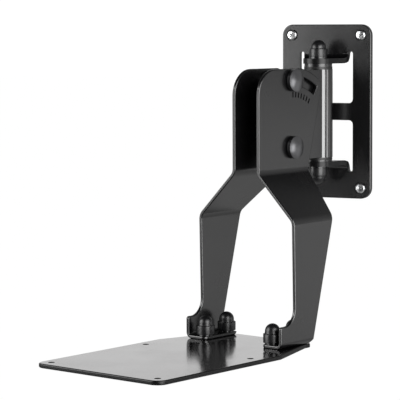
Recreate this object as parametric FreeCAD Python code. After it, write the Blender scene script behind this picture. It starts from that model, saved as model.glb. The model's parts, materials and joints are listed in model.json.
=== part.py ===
import FreeCAD, Part
import math
import os

from FreeCAD import Vector

# Row frame, millimetres: the origin is the centre of the wall plate's back face, +Z is up and -Y
# points into the room, so +X is on the viewer's right.
# Head frame: the same directions with its origin on the swivel axis, level with the wall plate's
# centre. The head and the cradle are modelled there looking straight out of the wall, then turned
# to the swivel angle that the bracket stands at. "Reach" is the distance forward, along -Y.

# How the bracket stands
swivel_at_rest_deg = -14.0

# Wall plate and its two folded ears
plate_width = 112.0
plate_height = 204.0
plate_t = 6.0
plate_corner_r = 13.0
plate_edge_r = 1.2
window_side_rail = 22.4
crossbar_height = 20.0
window_corner_r = 5.0
slit_width = 5.5
slit_past_bend = 1.3
ear_bend_r = 6.5
ear_bend_taper = 3.5
ear_tip_r = 17.5
swivel_reach = 24.0
screw_inset = 12.5

# Wall screws
screw_hole_r = 3.25
screw_spot_r = 7.2
screw_spot_depth = 1.0
screw_head_r = 6.0
screw_head_h = 4.0
screw_neck_r = 2.3
screw_shank_r = 2.75
screw_stand_out = 18.0
screw_point = 5.0
recess_width = 1.5
recess_length = 6.6
recess_depth = 2.2

# Swivel tube and bushes
tube_r = 16.85
tube_bore_r = 13.5
tube_top = 50.0
bush_length = 20.0
bush_flange_r = 16.5
bush_flange_t = 3.2
thrust_ring_r = 16.2
upper_thrust_t = 3.5
lower_thrust_t = 1.5

# Ten millimetre fasteners: the swivel bolt and the two cross bolts
m10_r = 5.0
m10_flats = 17.0
m10_nut_h = 8.0
m10_head_h = 6.4
m10_washer_r = 10.8
m10_washer_t = 1.8
m10_cap_collar_r = 10.6
m10_cap_collar_h = 9.5
m10_cap_dome_r = 8.8
m10_cap_height = 19.5
bolt_end_past_nut = 2.5
round_head_r = 13.0
round_head_side = 4.2
round_head_height = 7.8

# Eight millimetre fasteners: the feet
m8_r = 4.0
m8_flats = 13.0
m8_nut_h = 6.5
m8_washer_r = 8.5
m8_washer_t = 1.6
m8_cap_collar_r = 10.4
m8_cap_collar_h = 10.0
m8_cap_dome_r = 8.6
m8_cap_height = 21.2
foot_head_r = 10.0
foot_head_side = 1.2
foot_head_height = 4.4
square_neck = 8.0

# Yoke
cheek_half_width = 13.4
cheek_t = 4.0
cheek_past_pivot = 13.5
cheek_corner_r = 13.0
web_t = 4.0
sleeve_r = 8.0
friction_washer_r = 10.0
friction_washer_t = 1.8

# Arms, as the outer face of the folded sheet, and the tilt geometry
arm_t = 4.0
arm_fold_r = 10.0
foot_fold_r = 3.0
arm_spread = 49.4
flange_width = 28.7
arm_above_tube = 2.5
upper_fold_z = -63.1
lower_fold_z = -113.0
arm_front_corner_r = 30.0
arm_front_lean = 2.0
arm_rear_corner_r = 5.0
rear_edge_start = 13.6
rear_edge_slope = 0.267
pivot_reach = 73.5
pivot_z = -36.4
lock_below_tube_top = 10.5
slot_width = 11.0
tilt_travel_deg = 30.0
slot_end_clearance = 0.4
back_arc_past_top = 1.6
foot_length = 58.4
foot_toe_length = 23.4
foot_height = 25.0
foot_flare_r = 18.0
foot_front_corner_r = 3.0
foot_rear_step = 4.5
flange_rear_step = 1.7
flange_corner_r = 7.0
mark_step_deg = 5.0
mark_inner_r = 56.5
mark_outer_r = 62.6
mark_width = 2.2
mark_depth = 0.4

# Platform
platform_top = -253.0
platform_t = 5.0
platform_half_width = 88.2
platform_inside_arms = 4.6
platform_past_feet = 2.7
platform_rear_side = 10.8
platform_chamfer_length = 74.8
platform_length = 285.7
platform_front_corner_r = 12.0
platform_side_corner_r = 4.0
platform_edge_r = 1.5
fixing_spacing = 150.0
fixing_front_margin = 12.8
fixing_hole_r = 3.5
foot_bolt_side_inset = 20.3
foot_bolt_rear_inset = 8.6
foot_bolt_front_inset = 10.5

# Clearances
running_clearance = 0.05
bolt_hole_clearance = 0.25
socket_clearance = 0.1

# Derived places
swivel_y = -plate_t - swivel_reach
ear_inner_z = tube_top + bush_flange_t + upper_thrust_t
ear_outer_z = ear_inner_z + plate_t
tube_bottom = lower_thrust_t + bush_flange_t - ear_inner_z
window_half_width = plate_width / 2 - window_side_rail
window_top = ear_outer_z + ear_bend_r + slit_past_bend
lock_z = tube_top - lock_below_tube_top
slot_r = lock_z - pivot_z
cheek_inner = cheek_half_width - cheek_t
cheek_front_reach = pivot_reach + cheek_past_pivot
arm_upper_x = cheek_half_width + friction_washer_t + arm_t
arm_lower_x = arm_upper_x + arm_spread
arm_top = tube_top + arm_above_tube
arm_back_r = arm_top - pivot_z + back_arc_past_top
lower_rear_reach = rear_edge_start + rear_edge_slope * (
    arm_top - upper_fold_z
    + math.hypot(arm_lower_x - arm_upper_x, upper_fold_z - lower_fold_z)
)
foot_rear_reach = lower_rear_reach + rear_edge_slope * (lower_fold_z - platform_top)
flange_inner_x = arm_lower_x - flange_width
flange_rear_reach = foot_rear_reach + flange_rear_step
foot_front_reach = foot_rear_reach + foot_length
arm_front_reach = foot_front_reach - foot_toe_length
foot_neck_reach = arm_front_reach - arm_front_lean
foot_bolt_x = arm_lower_x - foot_bolt_side_inset
foot_bolt_reaches = (
    flange_rear_reach + foot_bolt_rear_inset,
    foot_front_reach - foot_bolt_front_inset,
)
foot_hole_r = m8_r + bolt_hole_clearance
platform_rear_reach = foot_rear_reach - platform_past_feet
platform_rear_half_width = arm_lower_x - platform_inside_arms
platform_side_reach = platform_rear_reach + platform_rear_side
platform_wide_reach = platform_side_reach + platform_chamfer_length
platform_front_reach = platform_rear_reach + platform_length
fixing_reach = platform_front_reach - fixing_front_margin - fixing_spacing / 2

up = Vector(0, 0, 1)
right = Vector(1, 0, 0)
left = Vector(-1, 0, 0)
forward = Vector(0, -1, 0)
backward = Vector(0, 1, 0)
origin = Vector(0, 0, 0)


# Places in the two frames

def facing(x, z):
    """A point of an upright drawing that is seen from the room."""
    return Vector(x, 0, z)


def sideways(reach, z):
    """A point of an upright drawing that is seen from the side."""
    return Vector(0, -reach, z)


def from_above(x, reach):
    """A point of a flat drawing."""
    return Vector(x, -reach, 0)


def at_swivel_axis(shape):
    """Moves a shape of the wall side from the swivel axis to its place."""
    shape.translate(Vector(0, swivel_y, 0))
    return shape


def turned_head(shape):
    """Turns a finished piece of the head or cradle to the resting swivel and sets it in place."""
    shape.rotate(origin, up, swivel_at_rest_deg)
    return at_swivel_axis(shape)


# Drawing helpers

def rounded_wire(corners, place):
    """A closed wire through corners (a, b, radius), each rounded by a tangent arc."""
    starts = []
    ends = []
    middles = []
    count = len(corners)
    for i in range(count):
        here = place(corners[i][0], corners[i][1])
        radius = corners[i][2]
        before = place(*corners[i - 1][:2]) - here
        after = place(*corners[(i + 1) % count][:2]) - here
        half_angle = before.getAngle(after) / 2
        before.normalize()
        after.normalize()
        setback = radius / math.tan(half_angle)
        starts.append(here + before * setback)
        ends.append(here + after * setback)
        bisector = before + after
        if radius > 0:
            bisector.normalize()
        middles.append(here + bisector * (radius / math.sin(half_angle) - radius))
    edges = []
    for i in range(count):
        if corners[i][2] > 0:
            edges.append(Part.Arc(starts[i], middles[i], ends[i]).toShape())
        following = starts[(i + 1) % count]
        if ends[i].distanceToPoint(following) > 1e-6:
            edges.append(Part.makeLine(ends[i], following))
    return Part.Wire(edges)


def slab(corners, place, thickness):
    """A rounded outline, extruded by the vector thickness."""
    return Part.Face(rounded_wire(corners, place)).extrude(thickness)


def turned(points, arc_through=None):
    """A solid of revolution about +Z; its last profile edge bulges through arc_through if given."""
    places = [Vector(r, 0, z) for r, z in points]
    edges = [Part.makeLine(a, b) for a, b in zip(places[:-2], places[1:-1])]
    if arc_through:
        middle = Vector(arc_through[0], 0, arc_through[1])
        edges.append(Part.Arc(places[-2], middle, places[-1]).toShape())
    else:
        edges.append(Part.makeLine(places[-2], places[-1]))
    edges.append(Part.makeLine(places[-1], places[0]))
    return Part.Face(Part.Wire(edges)).revolve(origin, up, 360)


def stood(shape, base, axis):
    """A copy of a shape that was made along +Z, with its foot at base and pointing along axis."""
    copy = shape.copy()
    copy.Placement = FreeCAD.Placement(base, FreeCAD.Rotation(up, axis))
    return copy


def ring(outer_r, inner_r, height):
    """A flat ring or a sleeve along +Z."""
    body = Part.makeCylinder(outer_r, height)
    return body.cut(Part.makeCylinder(inner_r, height))


def hexagon(across_flats, height):
    """A hexagonal prism along +Z."""
    corner_r = across_flats / math.sqrt(3)
    corners = [
        (corner_r * math.cos(math.radians(60 * k)), -corner_r * math.sin(math.radians(60 * k)), 0)
        for k in range(6)
    ]
    return slab(corners, from_above, up * height)


def hole(radius, base, axis, length):
    """A cutter for a round hole."""
    return Part.makeCylinder(radius, length, base, axis)


# Fasteners, all made along +Z from their seat

def chamfered_hexagon(across_flats, height, faces):
    """A nut or bolt head blank, turned down to a cone at one or both faces."""
    body = hexagon(across_flats, height)
    corner_r = across_flats / math.sqrt(3)
    flat_r = across_flats / 2
    drop = (corner_r - flat_r) * 0.6
    seat = [(flat_r, 0), (corner_r, drop)] if faces == 2 else [(corner_r, 0)]
    profile = [(0, 0)] + seat + [(corner_r, height - drop), (flat_r, height), (0, height)]
    return body.common(turned(profile))


def nut(across_flats, height, thread_r):
    """A hexagon nut."""
    return chamfered_hexagon(across_flats, height, 2).cut(Part.makeCylinder(thread_r, height))


def shank(radius, length):
    """A bolt's shank along +Z with a chamfered end."""
    chamfer = radius * 0.15
    return turned([
        (0, 0), (radius, 0), (radius, length - chamfer), (radius - chamfer, length), (0, length)
    ])


def round_head(radius, side, height):
    """A shallow domed head along +Z: a short straight side and a dome."""
    sphere_r = (radius ** 2 + (height - side) ** 2) / (2 * (height - side))
    middle_r = radius / 2
    middle_z = height - sphere_r + math.sqrt(sphere_r ** 2 - middle_r ** 2)
    return turned([(0, 0), (radius, 0), (radius, side), (0, height)], (middle_r, middle_z))


def nut_cap(collar_r, collar_h, dome_r, height, across_flats, nut_h, bore_r):
    """A domed plastic cap with a hexagonal pocket for a nut and room for the bolt's end."""
    edge = 0.5
    shoulder = height - dome_r
    middle = dome_r * math.sqrt(0.5)
    body = turned([
        (0, 0), (collar_r, 0), (collar_r, collar_h - edge), (collar_r - edge, collar_h),
        (dome_r, collar_h), (dome_r, shoulder), (0, height)
    ], (middle, shoulder + middle))
    pocket = hexagon(across_flats + 2 * socket_clearance, nut_h + socket_clearance)
    end_room = Part.makeCylinder(bore_r + bolt_hole_clearance, nut_h + bolt_end_past_nut + 1)
    return body.cut(pocket).cut(end_room)


def m10_cap():
    return nut_cap(m10_cap_collar_r, m10_cap_collar_h, m10_cap_dome_r, m10_cap_height,
                   m10_flats, m10_nut_h, m10_r)


def m8_cap():
    return nut_cap(m8_cap_collar_r, m8_cap_collar_h, m8_cap_dome_r, m8_cap_height,
                   m8_flats, m8_nut_h, m8_r)


# Wall side

def screw_places():
    """The four screw places, on the wall plate's back face."""
    return [
        Vector(x * (plate_width / 2 - screw_inset), 0, z * (plate_height / 2 - screw_inset))
        for x in (-1, 1)
        for z in (-1, 1)
    ]


def window_cutter():
    """The upper window with its two slits, cut right through the plate."""
    low = crossbar_height / 2
    slit_r = slit_width / 2
    slit_z = window_top - slit_r
    root = window_half_width - slit_width
    through = backward * (plate_t + 2)
    bend_z = ear_outer_z + ear_bend_r
    field = slab([
        (-window_half_width, low, window_corner_r), (window_half_width, low, window_corner_r),
        (window_half_width, slit_z, 0), (-window_half_width, slit_z, 0)
    ], facing, through)
    behind_fold = slab([
        (-root, slit_z - 1, 0), (root, slit_z - 1, 0), (root, bend_z, 0), (-root, bend_z, 0)
    ], facing, through)
    cutter = field.fuse(behind_fold)
    for side in (-1, 1):
        slit_end = facing(side * (window_half_width - slit_r), slit_z)
        cutter = cutter.fuse(hole(slit_r, slit_end, backward, plate_t + 2))
    cutter.translate(Vector(0, -plate_t - 1, 0))
    return cutter


def upper_ear():
    """The upper ear: a narrowing quarter bend, then a flat tongue with a round tip."""
    root = window_half_width - slit_width
    narrowed = root - ear_bend_taper
    outer_r = ear_bend_r + plate_t
    centre = Vector(-root, -outer_r, ear_outer_z + ear_bend_r)
    quarter_box = slab([
        (-root, 0, 0), (root, 0, 0), (root, plate_t, 0),
        (narrowed, outer_r, 0), (-narrowed, outer_r, 0), (-root, plate_t, 0)
    ], from_above, up * outer_r)
    quarter_box.translate(up * ear_inner_z)
    bend = Part.makeCylinder(outer_r, 2 * root, centre, right)
    bend = bend.cut(Part.makeCylinder(ear_bend_r, 2 * root, centre, right)).common(quarter_box)
    root_y = -outer_r
    axis_to_root = root_y - swivel_y
    slant = math.hypot(narrowed, axis_to_root)
    touch_angle = math.atan2(axis_to_root, narrowed) - math.acos(ear_tip_r / slant)
    touch_x = ear_tip_r * math.cos(touch_angle)
    touch_y = swivel_y + ear_tip_r * math.sin(touch_angle)
    tip = Vector(0, swivel_y - ear_tip_r, ear_inner_z)
    corner = [
        Vector(-narrowed, root_y, ear_inner_z), Vector(narrowed, root_y, ear_inner_z),
        Vector(-touch_x, touch_y, ear_inner_z), Vector(touch_x, touch_y, ear_inner_z)
    ]
    outline = Part.Wire([
        Part.makeLine(corner[0], corner[1]), Part.makeLine(corner[1], corner[3]),
        Part.Arc(corner[3], tip, corner[2]).toShape(), Part.makeLine(corner[2], corner[0])
    ])
    tongue = Part.Face(outline).extrude(up * plate_t)
    return bend.fuse(tongue)


def wall_plate():
    half_x = plate_width / 2
    half_z = plate_height / 2
    plate = slab([
        (-half_x, -half_z, plate_corner_r), (half_x, -half_z, plate_corner_r),
        (half_x, half_z, plate_corner_r), (-half_x, half_z, plate_corner_r)
    ], facing, forward * plate_t)
    rim = [e for e in plate.Edges if e.BoundBox.YMax < -plate_t + 1e-3]
    plate = plate.makeFillet(plate_edge_r, rim)
    mirror_z = Vector(0, 0, 1)
    window = window_cutter()
    ear = upper_ear()
    for cutter in (window, window.mirror(origin, mirror_z)):
        plate = plate.cut(cutter)
    for tongue in (ear, ear.mirror(origin, mirror_z)):
        plate = plate.fuse(tongue)
    plate = plate.removeSplitter()
    bolt_way = hole(m10_r + bolt_hole_clearance, Vector(0, swivel_y, -plate_height / 2),
                    up, plate_height)
    plate = plate.cut(bolt_way)
    for place in screw_places():
        plate = plate.cut(hole(screw_hole_r, place + backward, forward, plate_t + 2))
        spot = place + forward * (plate_t - screw_spot_depth)
        plate = plate.cut(hole(screw_spot_r, spot, forward, screw_spot_depth + 1))
    return plate


def wall_screw():
    """One screw along +Z from its head's seat, with the head below and the point above."""
    head = round_head(screw_head_r, screw_head_h * 0.35, screw_head_h)
    for angle in (0, 90):
        arm = Part.makeBox(recess_length, recess_width, recess_depth + 1)
        arm.translate(Vector(-recess_length / 2, -recess_width / 2, screw_head_h - recess_depth))
        arm.rotate(origin, up, angle + 20)
        head = head.cut(arm)
    head = head.mirror(origin, up)
    neck_length = plate_t - screw_spot_depth
    length = neck_length + screw_stand_out
    core_r = 0.4
    stem = turned([
        (0, 0), (screw_neck_r, 0), (screw_neck_r, neck_length), (screw_shank_r, neck_length),
        (screw_shank_r, length - screw_point), (core_r, length), (0, length)
    ])
    return head.fuse(stem).removeSplitter()


def wall_screws():
    seat_y = -plate_t + screw_spot_depth
    screw = wall_screw()
    return Part.makeCompound([
        stood(screw, place + Vector(0, seat_y, 0), backward) for place in screw_places()
    ])


def swivel_bolt():
    """Head at the bottom, thread at the top."""
    seat = -ear_outer_z - m10_washer_t
    length = 2 * (ear_outer_z + m10_washer_t) + m10_nut_h + bolt_end_past_nut
    head = stood(chamfered_hexagon(m10_flats, m10_head_h, 1), up * seat, -up)
    bolt = head.fuse(stood(shank(m10_r, length), up * seat, up))
    return at_swivel_axis(bolt.removeSplitter())


def swivel_nut():
    body = nut(m10_flats, m10_nut_h, m10_r)
    return at_swivel_axis(stood(body, up * (ear_outer_z + m10_washer_t), up))


def swivel_washers():
    washer = ring(m10_washer_r, m10_r + bolt_hole_clearance, m10_washer_t)
    pair = [stood(washer, up * ear_outer_z, up), stood(washer, -up * ear_outer_z, -up)]
    return Part.makeCompound([at_swivel_axis(one) for one in pair])


def thrust_washers():
    """Rings that fill what is left between the bush flanges and the ears."""
    bore_r = m10_r + bolt_hole_clearance
    upper_low = tube_top + bush_flange_t
    lower_high = tube_bottom - bush_flange_t
    upper = stood(ring(thrust_ring_r, bore_r, ear_inner_z - upper_low), up * upper_low, up)
    lower = stood(ring(thrust_ring_r, bore_r, lower_high + ear_inner_z), up * lower_high, -up)
    return Part.makeCompound([at_swivel_axis(upper), at_swivel_axis(lower)])


def swivel_caps():
    seat = ear_outer_z + m10_washer_t
    pair = [stood(m10_cap(), up * seat, up), stood(m10_cap(), -up * seat, -up)]
    return Part.makeCompound([at_swivel_axis(one) for one in pair])


# Swivelling head, in the head frame

def swivel_tube():
    return stood(ring(tube_r, tube_bore_r, tube_top - tube_bottom), up * tube_bottom, up)


def bush():
    """A flanged bush along +Z: the flange is above its seat, the barrel below it."""
    flange = Part.makeCylinder(bush_flange_r, bush_flange_t)
    barrel = Part.makeCylinder(tube_bore_r, bush_length, origin, -up)
    bore = Part.makeCylinder(m10_r + running_clearance, bush_length + bush_flange_t,
                             -up * bush_length, up)
    return flange.fuse(barrel).cut(bore)


def upper_bush():
    return stood(bush(), up * tube_top, up)


def lower_bush():
    return stood(bush(), up * tube_bottom, -up)


def cross_bolt_places():
    """Where the two cross bolts pass the head's middle plane."""
    return [sideways(pivot_reach, pivot_z), sideways(pivot_reach, lock_z)]


def cheek(side):
    """A yoke plate, coped against the tube at its rear edge."""
    plate = slab([
        (0, tube_bottom, 0), (cheek_front_reach, tube_bottom, cheek_corner_r),
        (cheek_front_reach, tube_top, cheek_corner_r), (0, tube_top, 0)
    ], sideways, right * (side * cheek_t))
    plate.translate(right * (side * cheek_inner))
    span = tube_top - tube_bottom
    plate = plate.cut(Part.makeCylinder(tube_r, span, up * tube_bottom))
    behind = Part.makeBox(4 * tube_r, 2 * tube_r, span,
                          Vector(-2 * tube_r, 0, tube_bottom))
    plate = plate.cut(behind)
    for place in cross_bolt_places():
        start = place + left * cheek_half_width
        plate = plate.cut(hole(m10_r + bolt_hole_clearance, start, right, 2 * cheek_half_width))
    return plate


def yoke_web():
    """A plate between the cheeks whose back follows the tube."""
    reach = tube_r + web_t / 2
    web = Part.makeBox(2 * cheek_inner, reach, tube_top - tube_bottom,
                       Vector(-cheek_inner, -reach, tube_bottom))
    return web.cut(Part.makeCylinder(tube_r, tube_top - tube_bottom, up * tube_bottom))


def cross_bolt(place):
    """A round-headed bolt from the right arm's outer face to past the left nut."""
    length = 2 * arm_upper_x + m10_washer_t + m10_nut_h + bolt_end_past_nut
    seat = place + right * arm_upper_x
    head = stood(round_head(round_head_r, round_head_side, round_head_height), seat, right)
    return head.fuse(stood(shank(m10_r, length), seat, left)).removeSplitter()


def pivot_bolt():
    return cross_bolt(cross_bolt_places()[0])


def lock_bolt():
    return cross_bolt(cross_bolt_places()[1])


def bolt_sleeves():
    sleeve = ring(sleeve_r, m10_r + bolt_hole_clearance, 2 * cheek_inner)
    return Part.makeCompound([
        stood(sleeve, place + left * cheek_inner, right) for place in cross_bolt_places()
    ])


def friction_washers():
    disc = ring(friction_washer_r, m10_r + bolt_hole_clearance, friction_washer_t)
    return Part.makeCompound([
        stood(disc, place + axis * cheek_half_width, axis)
        for place in cross_bolt_places()
        for axis in (left, right)
    ])


def left_ends(fastener, offset):
    """The same fastener on the left end of both cross bolts, offset out from the arm's face."""
    return Part.makeCompound([
        stood(fastener, place + left * (arm_upper_x + offset), left)
        for place in cross_bolt_places()
    ])


def tilt_washers():
    return left_ends(ring(m10_washer_r, m10_r + bolt_hole_clearance, m10_washer_t), 0)


def tilt_nuts():
    return left_ends(nut(m10_flats, m10_nut_h, m10_r), m10_washer_t)


def tilt_caps():
    return left_ends(m10_cap(), m10_washer_t)


# Tilting cradle, in the head frame

def offset_points(points, distance):
    """The polyline shifted to its right-hand side by distance."""
    normals = []
    for (ax, az), (bx, bz) in zip(points, points[1:]):
        length = math.hypot(bx - ax, bz - az)
        normals.append(((bz - az) / length, -(bx - ax) / length))
    shifted = []
    for i, (x, z) in enumerate(points):
        before = normals[max(i - 1, 0)]
        after = normals[min(i, len(normals) - 1)]
        scale = distance / (1 + before[0] * after[0] + before[1] * after[1])
        shifted.append((x + (before[0] + after[0]) * scale, z + (before[1] + after[1]) * scale))
    return shifted


def folded_section(points, thickness, inner_radii):
    """Corners of a folded sheet's section; its thickness lies to the right of the points."""
    radii = [(0, 0)]
    for (ax, az), (bx, bz), (cx, cz), inner_r in zip(points, points[1:], points[2:], inner_radii):
        turn = (bx - ax) * (cz - bz) - (bz - az) * (cx - bx)
        outer_r = inner_r + thickness
        radii.append((outer_r, inner_r) if turn < 0 else (inner_r, outer_r))
    radii.append((0, 0))
    outer = [(x, z, r[0]) for (x, z), r in zip(points, radii)]
    inner = [(x, z, r[1]) for (x, z), r in zip(offset_points(points, thickness), radii)]
    return outer + inner[::-1]


def arm_blank():
    """The right arm's folded sheet before its edges are trimmed."""
    section = folded_section([
        (arm_upper_x, arm_top), (arm_upper_x, upper_fold_z), (arm_lower_x, lower_fold_z),
        (arm_lower_x, platform_top), (flange_inner_x, platform_top)
    ], arm_t, (arm_fold_r, arm_fold_r, foot_fold_r))
    return slab(section, facing, forward * (foot_front_reach + 1))


def arm_side_outline():
    """The arm's edge as seen from the side, from the top edge round to the rear arc."""
    foot_top = platform_top + foot_height
    upper_rear = rear_edge_start + rear_edge_slope * (arm_top - upper_fold_z)
    arc_top_reach = pivot_reach - math.sqrt(arm_back_r ** 2 - (arm_top - pivot_z) ** 2)
    a = 1 + rear_edge_slope ** 2
    base = rear_edge_start + rear_edge_slope * (arm_top - pivot_z) - pivot_reach
    b = -2 * rear_edge_slope * base
    c = base ** 2 - arm_back_r ** 2
    rise = (-b + math.sqrt(b * b - 4 * a * c)) / (2 * a)
    arc_low = (pivot_reach + base - rear_edge_slope * rise, pivot_z + rise)
    low_angle = math.atan2(arc_low[1] - pivot_z, pivot_reach - arc_low[0])
    high_angle = math.atan2(arm_top - pivot_z, pivot_reach - arc_top_reach)
    middle_angle = (low_angle + high_angle) / 2
    arc_middle = sideways(pivot_reach - arm_back_r * math.cos(middle_angle),
                          pivot_z + arm_back_r * math.sin(middle_angle))
    front_start = sideways(arm_front_reach, arm_top - arm_front_corner_r)
    corner_mid = arm_front_corner_r * (1 - math.sqrt(0.5))
    flare_mid = foot_flare_r * (1 - math.sqrt(0.5))
    nose_mid = foot_front_corner_r * (1 - math.sqrt(0.5))
    flare_end = foot_neck_reach + foot_flare_r
    flare_start = sideways(foot_neck_reach, foot_top + foot_flare_r)
    nose_start = foot_front_reach - foot_front_corner_r
    arc_start = sideways(arc_top_reach, arm_top)
    arc_end = sideways(*arc_low)
    places = [
        sideways(flare_end, foot_top), sideways(nose_start, foot_top),
        sideways(foot_front_reach, foot_top - foot_front_corner_r),
        sideways(foot_front_reach, platform_top),
        sideways(foot_rear_reach + foot_rear_step, platform_top),
        sideways(foot_rear_reach - rear_edge_slope * foot_rear_step, platform_top + foot_rear_step),
        sideways(lower_rear_reach, lower_fold_z), sideways(upper_rear, upper_fold_z), arc_end
    ]
    edges = [
        Part.Arc(arc_end, arc_middle, arc_start).toShape(),
        Part.makeLine(arc_start, sideways(arm_front_reach - arm_front_corner_r, arm_top)),
        Part.Arc(sideways(arm_front_reach - arm_front_corner_r, arm_top),
                 sideways(arm_front_reach - corner_mid, arm_top - corner_mid),
                 front_start).toShape(),
        Part.makeLine(front_start, sideways(arm_front_reach, lower_fold_z)),
        Part.makeLine(sideways(arm_front_reach, lower_fold_z), flare_start),
        Part.Arc(flare_start,
                 sideways(foot_neck_reach + flare_mid, foot_top + flare_mid),
                 places[0]).toShape(),
        Part.makeLine(places[0], places[1]),
        Part.Arc(places[1],
                 sideways(foot_front_reach - nose_mid, foot_top - nose_mid),
                 places[2]).toShape()
    ]
    edges += [Part.makeLine(a, b) for a, b in zip(places[2:], places[3:])]
    return Part.Wire(edges)


def slot_cutter():
    """The curved slot about the pivot, with flat radial ends."""
    overrun = math.degrees((m10_r + slot_end_clearance) / slot_r)
    low = math.radians(-overrun)
    high = math.radians(tilt_travel_deg + overrun)

    def place(radius, angle):
        return sideways(pivot_reach - radius * math.sin(angle), pivot_z + radius * math.cos(angle))

    inner = slot_r - slot_width / 2
    outer = slot_r + slot_width / 2
    middle = (low + high) / 2
    outline = Part.Wire([
        Part.Arc(place(inner, low), place(inner, middle), place(inner, high)).toShape(),
        Part.makeLine(place(inner, high), place(outer, high)),
        Part.Arc(place(outer, high), place(outer, middle), place(outer, low)).toShape(),
        Part.makeLine(place(outer, low), place(inner, low))
    ])
    return Part.Face(outline).extrude(right * (arm_upper_x + 1))


def angle_marks():
    """Seven shallow strokes on the arm's outer face, one for every few degrees of tilt."""
    marks = []
    pivot = sideways(pivot_reach, pivot_z)
    for step in range(int(tilt_travel_deg / mark_step_deg) + 1):
        mark = Part.makeBox(mark_depth + 1, mark_width, mark_outer_r - mark_inner_r)
        mark.translate(pivot + Vector(arm_upper_x - mark_depth, -mark_width / 2, mark_inner_r))
        mark.rotate(pivot, right, -step * mark_step_deg)
        marks.append(mark)
    return Part.makeCompound(marks)


def arm_right():
    trim = Part.Face(arm_side_outline()).extrude(right * (arm_lower_x + 1))
    arm = arm_blank().common(trim)
    flange_box = Part.makeBox(arm_lower_x, flange_rear_reach, arm_t,
                              Vector(0, -flange_rear_reach, platform_top))
    keep_wall = arm_lower_x - foot_fold_r - arm_t
    arm = arm.cut(flange_box.common(Part.makeBox(keep_wall, foot_front_reach, arm_t,
                                                 Vector(0, -foot_front_reach, platform_top))))
    corners = [
        e for e in arm.Edges
        if e.BoundBox.XMax < flange_inner_x + 1e-3 and e.BoundBox.XMin > flange_inner_x - 1e-3
        and e.BoundBox.ZLength > arm_t - 1e-3 and e.BoundBox.YLength < 1e-3
    ]
    arm = arm.makeFillet(flange_corner_r, corners)
    rear_corner = [
        e for e in arm.Edges
        if e.BoundBox.XLength > arm_t - 1e-3 and e.BoundBox.ZLength < 1e-3
        and e.BoundBox.YLength < 1e-3 and e.BoundBox.ZMin > 0 and e.BoundBox.YMin > -30
    ]
    arm = arm.makeFillet(arm_rear_corner_r, rear_corner)
    pivot = sideways(pivot_reach, pivot_z)
    arm = arm.cut(hole(m10_r + running_clearance, pivot, right, arm_upper_x + 1))
    arm = arm.cut(slot_cutter())
    arm = arm.cut(angle_marks())
    for reach in foot_bolt_reaches:
        base = Vector(foot_bolt_x, -reach, platform_top - 1)
        arm = arm.cut(hole(foot_hole_r, base, up, arm_t + 2))
    return arm


def arm_left():
    return arm_right().mirror(origin, right)


def foot_places():
    """The four foot bolts, at the platform's top."""
    return [
        Vector(side * foot_bolt_x, -reach, platform_top)
        for side in (-1, 1)
        for reach in foot_bolt_reaches
    ]


def platform():
    outline = [
        (-platform_half_width, platform_front_reach, platform_front_corner_r),
        (platform_half_width, platform_front_reach, platform_front_corner_r),
        (platform_half_width, platform_wide_reach, platform_side_corner_r),
        (platform_rear_half_width, platform_side_reach, platform_side_corner_r),
        (platform_rear_half_width, platform_rear_reach, platform_side_corner_r),
        (-platform_rear_half_width, platform_rear_reach, platform_side_corner_r),
        (-platform_rear_half_width, platform_side_reach, platform_side_corner_r),
        (-platform_half_width, platform_wide_reach, platform_side_corner_r)
    ]
    plate = slab(outline, from_above, -up * platform_t)
    rims = [e for e in plate.Edges if e.BoundBox.ZLength < 1e-3]
    plate = plate.makeFillet(platform_edge_r, rims)
    plate.translate(up * platform_top)
    drill = up * (platform_top - platform_t - 1)
    half = fixing_spacing / 2
    for x in (-half, half):
        for reach in (fixing_reach - half, fixing_reach + half):
            plate = plate.cut(hole(fixing_hole_r, drill + from_above(x, reach), up, platform_t + 2))
    neck = square_neck / 2 + socket_clearance
    for place in foot_places():
        plate = plate.cut(Part.makeBox(2 * neck, 2 * neck, platform_t + 2,
                                       place - Vector(neck, neck, platform_t + 1)))
    return plate


def foot_bolt():
    """One bolt along +Z from the platform's underside: square neck and thread above the head."""
    head = round_head(foot_head_r, foot_head_side, foot_head_height).mirror(origin, up)
    half = square_neck / 2
    neck = Part.makeBox(square_neck, square_neck, platform_t - 0.5, Vector(-half, -half, 0))
    length = platform_t + arm_t + m8_washer_t + m8_nut_h + bolt_end_past_nut
    return head.fuse(neck).fuse(shank(m8_r, length)).removeSplitter()


def on_feet(fastener, height):
    """The same fastener at all four foot bolts, height above the platform's top."""
    return Part.makeCompound([
        stood(fastener, place + up * height, up) for place in foot_places()
    ])


def foot_bolts():
    return on_feet(foot_bolt(), -platform_t)


def foot_washers():
    return on_feet(ring(m8_washer_r, foot_hole_r, m8_washer_t), arm_t)


def foot_nuts():
    return on_feet(nut(m8_flats, m8_nut_h, m8_r), arm_t + m8_washer_t)


def foot_caps():
    return on_feet(m8_cap(), arm_t + m8_washer_t)


# Every node, by the body that it belongs to
wall_side = {
    "wall_plate": wall_plate,
    "wall_screws": wall_screws,
    "swivel_bolt": swivel_bolt,
    "swivel_nut": swivel_nut,
    "swivel_washers": swivel_washers,
    "thrust_washers": thrust_washers,
    "swivel_caps": swivel_caps,
}
head_side = {
    "swivel_tube": swivel_tube,
    "upper_bush": upper_bush,
    "lower_bush": lower_bush,
    "yoke_cheek_left": lambda: cheek(-1),
    "yoke_cheek_right": lambda: cheek(1),
    "yoke_web": yoke_web,
    "pivot_bolt": pivot_bolt,
    "lock_bolt": lock_bolt,
    "bolt_sleeves": bolt_sleeves,
    "friction_washers": friction_washers,
    "tilt_washers": tilt_washers,
    "tilt_nuts": tilt_nuts,
    "tilt_caps": tilt_caps,
    "arm_left": arm_left,
    "arm_right": arm_right,
    "platform": platform,
    "foot_bolts": foot_bolts,
    "foot_washers": foot_washers,
    "foot_nuts": foot_nuts,
    "foot_caps": foot_caps,
}

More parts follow.
